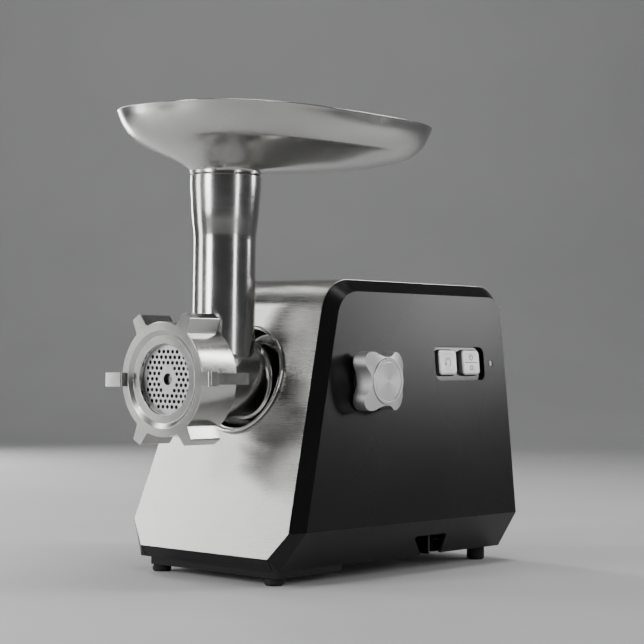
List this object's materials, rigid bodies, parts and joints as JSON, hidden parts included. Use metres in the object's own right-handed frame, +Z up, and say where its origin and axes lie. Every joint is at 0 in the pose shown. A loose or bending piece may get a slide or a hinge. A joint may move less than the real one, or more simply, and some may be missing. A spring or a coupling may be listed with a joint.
{
  "type": "electric meat grinder",
  "caption": "Table-top electric meat grinder: wedge body of steel and black plastic, round grinding head with ring nut and hole plate, tall feed tube and oblong hopper tray.",
  "frame": {"origin": "middle of the whole object's bounding box in plan, on the table surface under the feet", "axes": "+Z up, -Y the front where the hole plate faces, +X the side with the lock knob and buttons"},
  "size_m": [0.182, 0.33, 0.339],
  "materials": {
    "black_plastic": "satin moulded black plastic with glossy bevels",
    "brushed_steel": "stainless sheet with a fine horizontal grain",
    "socket_metal": "dark polished turned steel",
    "polished_metal": "bright rolled rim",
    "cast_metal": "satin polished casting with turned faces",
    "tray_metal": "spun and brushed tray metal",
    "tool_steel": "ground tool steel",
    "silver_plastic": "silver-plated plastic",
    "rubber": "soft black rubber",
    "gear_plastic": "natural engineering plastic",
    "gearbox_alloy": "die-cast gearbox alloy",
    "stator_steel": "stacked lamination steel",
    "copper": "enamelled copper wire",
    "carbon": "carbon brush block",
    "board_green": "printed circuit board",
    "lens_white": "frosted white lens"
  },
  "bodies": {
    "housing": {"side_cover_right": "black_plastic", "side_cover_left": "black_plastic", "rear_panel": "black_plastic", "base_plate": "black_plastic", "button_bezel": "black_plastic", "circuit_breaker": "black_plastic", "steel_wrap": "brushed_steel", "head_socket": "socket_metal", "socket_rim": "polished_metal", "lock_bushing": "tool_steel", "output_bearing": "tool_steel", "motor_frame": "tool_steel", "motor_bearing_front": "tool_steel", "motor_bearing_rear": "tool_steel", "base_screw_front_right": "tool_steel", "base_screw_front_left": "tool_steel", "base_screw_rear_right": "tool_steel", "base_screw_rear_left": "tool_steel", "button_spring_reverse": "tool_steel", "button_spring_power": "tool_steel", "foot_front_right": "rubber", "foot_front_left": "rubber", "foot_rear_right": "rubber", "foot_rear_left": "rubber", "cable_gland": "rubber", "gearbox_case": "gearbox_alloy", "gearbox_cover": "gearbox_alloy", "motor_stator": "stator_steel", "field_winding_front": "copper", "field_winding_rear": "copper", "carbon_brush_right": "carbon", "carbon_brush_left": "carbon", "circuit_board": "board_green", "indicator_lens": "lens_white"},
    "lock_screw": {"lock_screw": "tool_steel"},
    "lock_knob": {"lock_knob": "silver_plastic", "knob_cap": "silver_plastic"},
    "button_reverse": {"button_reverse": "silver_plastic"},
    "button_power": {"button_power": "silver_plastic"},
    "grinder_head": {"grinder_head": "cast_metal", "auger_washer": "gear_plastic"},
    "auger": {"auger": "cast_metal", "knife": "tool_steel"},
    "hole_plate": {"hole_plate": "tool_steel"},
    "ring_nut": {"ring_nut": "cast_metal"},
    "hopper_tray": {"hopper_tray": "tray_metal"},
    "output_drive": {"output_shaft": "tool_steel", "output_gear": "gear_plastic"},
    "second_drive": {"second_shaft": "tool_steel", "second_gear": "gear_plastic"},
    "first_drive": {"first_shaft": "tool_steel", "first_gear": "gear_plastic"},
    "motor_drive": {"motor_rotor": "tool_steel", "motor_fan": "gear_plastic", "motor_pinion": "tool_steel"}
  },
  "joints": [
    {"name": "head_release", "type": "slide", "parent": "housing", "child": "grinder_head", "axis": [0, -1, 0], "range_m": [0, 0.07]},
    {"name": "tray_lift", "type": "slide", "parent": "grinder_head", "child": "hopper_tray", "axis": [0, 0, 1], "range_m": [0, 0.06]},
    {"name": "plate_advance", "type": "slide", "parent": "grinder_head", "child": "hole_plate", "axis": [0, -1, 0], "range_m": [0, 0.0046]},
    {"name": "nut_turn", "type": "hinge", "parent": "hole_plate", "child": "ring_nut", "pos_m": [-0.004, -0.148, 0.1445], "axis": [0, -1, 0], "range_deg": [0, 540]},
    {"name": "auger_spin", "type": "hinge", "parent": "grinder_head", "child": "auger", "pos_m": [-0.004, -0.08, 0.1445], "axis": [0, 1, 0], "continuous": true},
    {"name": "lock_screw_travel", "type": "slide", "parent": "housing", "child": "lock_screw", "axis": [1, 0, 0], "range_m": [0, 0.0041]},
    {"name": "knob_turn", "type": "hinge", "parent": "lock_screw", "child": "lock_knob", "pos_m": [0.08, -0.017, 0.1445], "axis": [1, 0, 0], "range_deg": [0, 720]},
    {"name": "reverse_press", "type": "slide", "parent": "housing", "child": "button_reverse", "axis": [-0.9939, 0, -0.1099], "range_m": [0, 0.0015], "stiffness_N_per_m": 600, "springref_m": -0.001},
    {"name": "power_press", "type": "slide", "parent": "housing", "child": "button_power", "axis": [-0.9939, 0, -0.1099], "range_m": [0, 0.0015], "stiffness_N_per_m": 600, "springref_m": -0.001},
    {"name": "motor_spin", "type": "hinge", "parent": "housing", "child": "motor_drive", "pos_m": [0.0155, 0.1, 0.05425], "axis": [0, 1, 0], "continuous": true},
    {"name": "first_spin", "type": "hinge", "parent": "housing", "child": "first_drive", "pos_m": [-0.0115, 0.05, 0.0745], "axis": [0, 1, 0], "continuous": true},
    {"name": "second_spin", "type": "hinge", "parent": "housing", "child": "second_drive", "pos_m": [-0.034, 0.04, 0.1045], "axis": [0, 1, 0], "continuous": true},
    {"name": "output_spin", "type": "hinge", "parent": "housing", "child": "output_drive", "pos_m": [-0.004, 0.02, 0.1445], "axis": [0, 1, 0], "continuous": true}
  ],
  "couplings": [
    {"joint": "plate_advance", "follows": "nut_turn", "m_per_rad": 0.00047746},
    {"joint": "lock_screw_travel", "follows": "knob_turn", "m_per_rad": 0.00031831},
    {"joint": "first_spin", "follows": "motor_spin", "ratio": -0.2},
    {"joint": "second_spin", "follows": "motor_spin", "ratio": 0.05},
    {"joint": "output_spin", "follows": "motor_spin", "ratio": -0.0125},
    {"joint": "auger_spin", "follows": "motor_spin", "ratio": -0.0125}
  ]
}
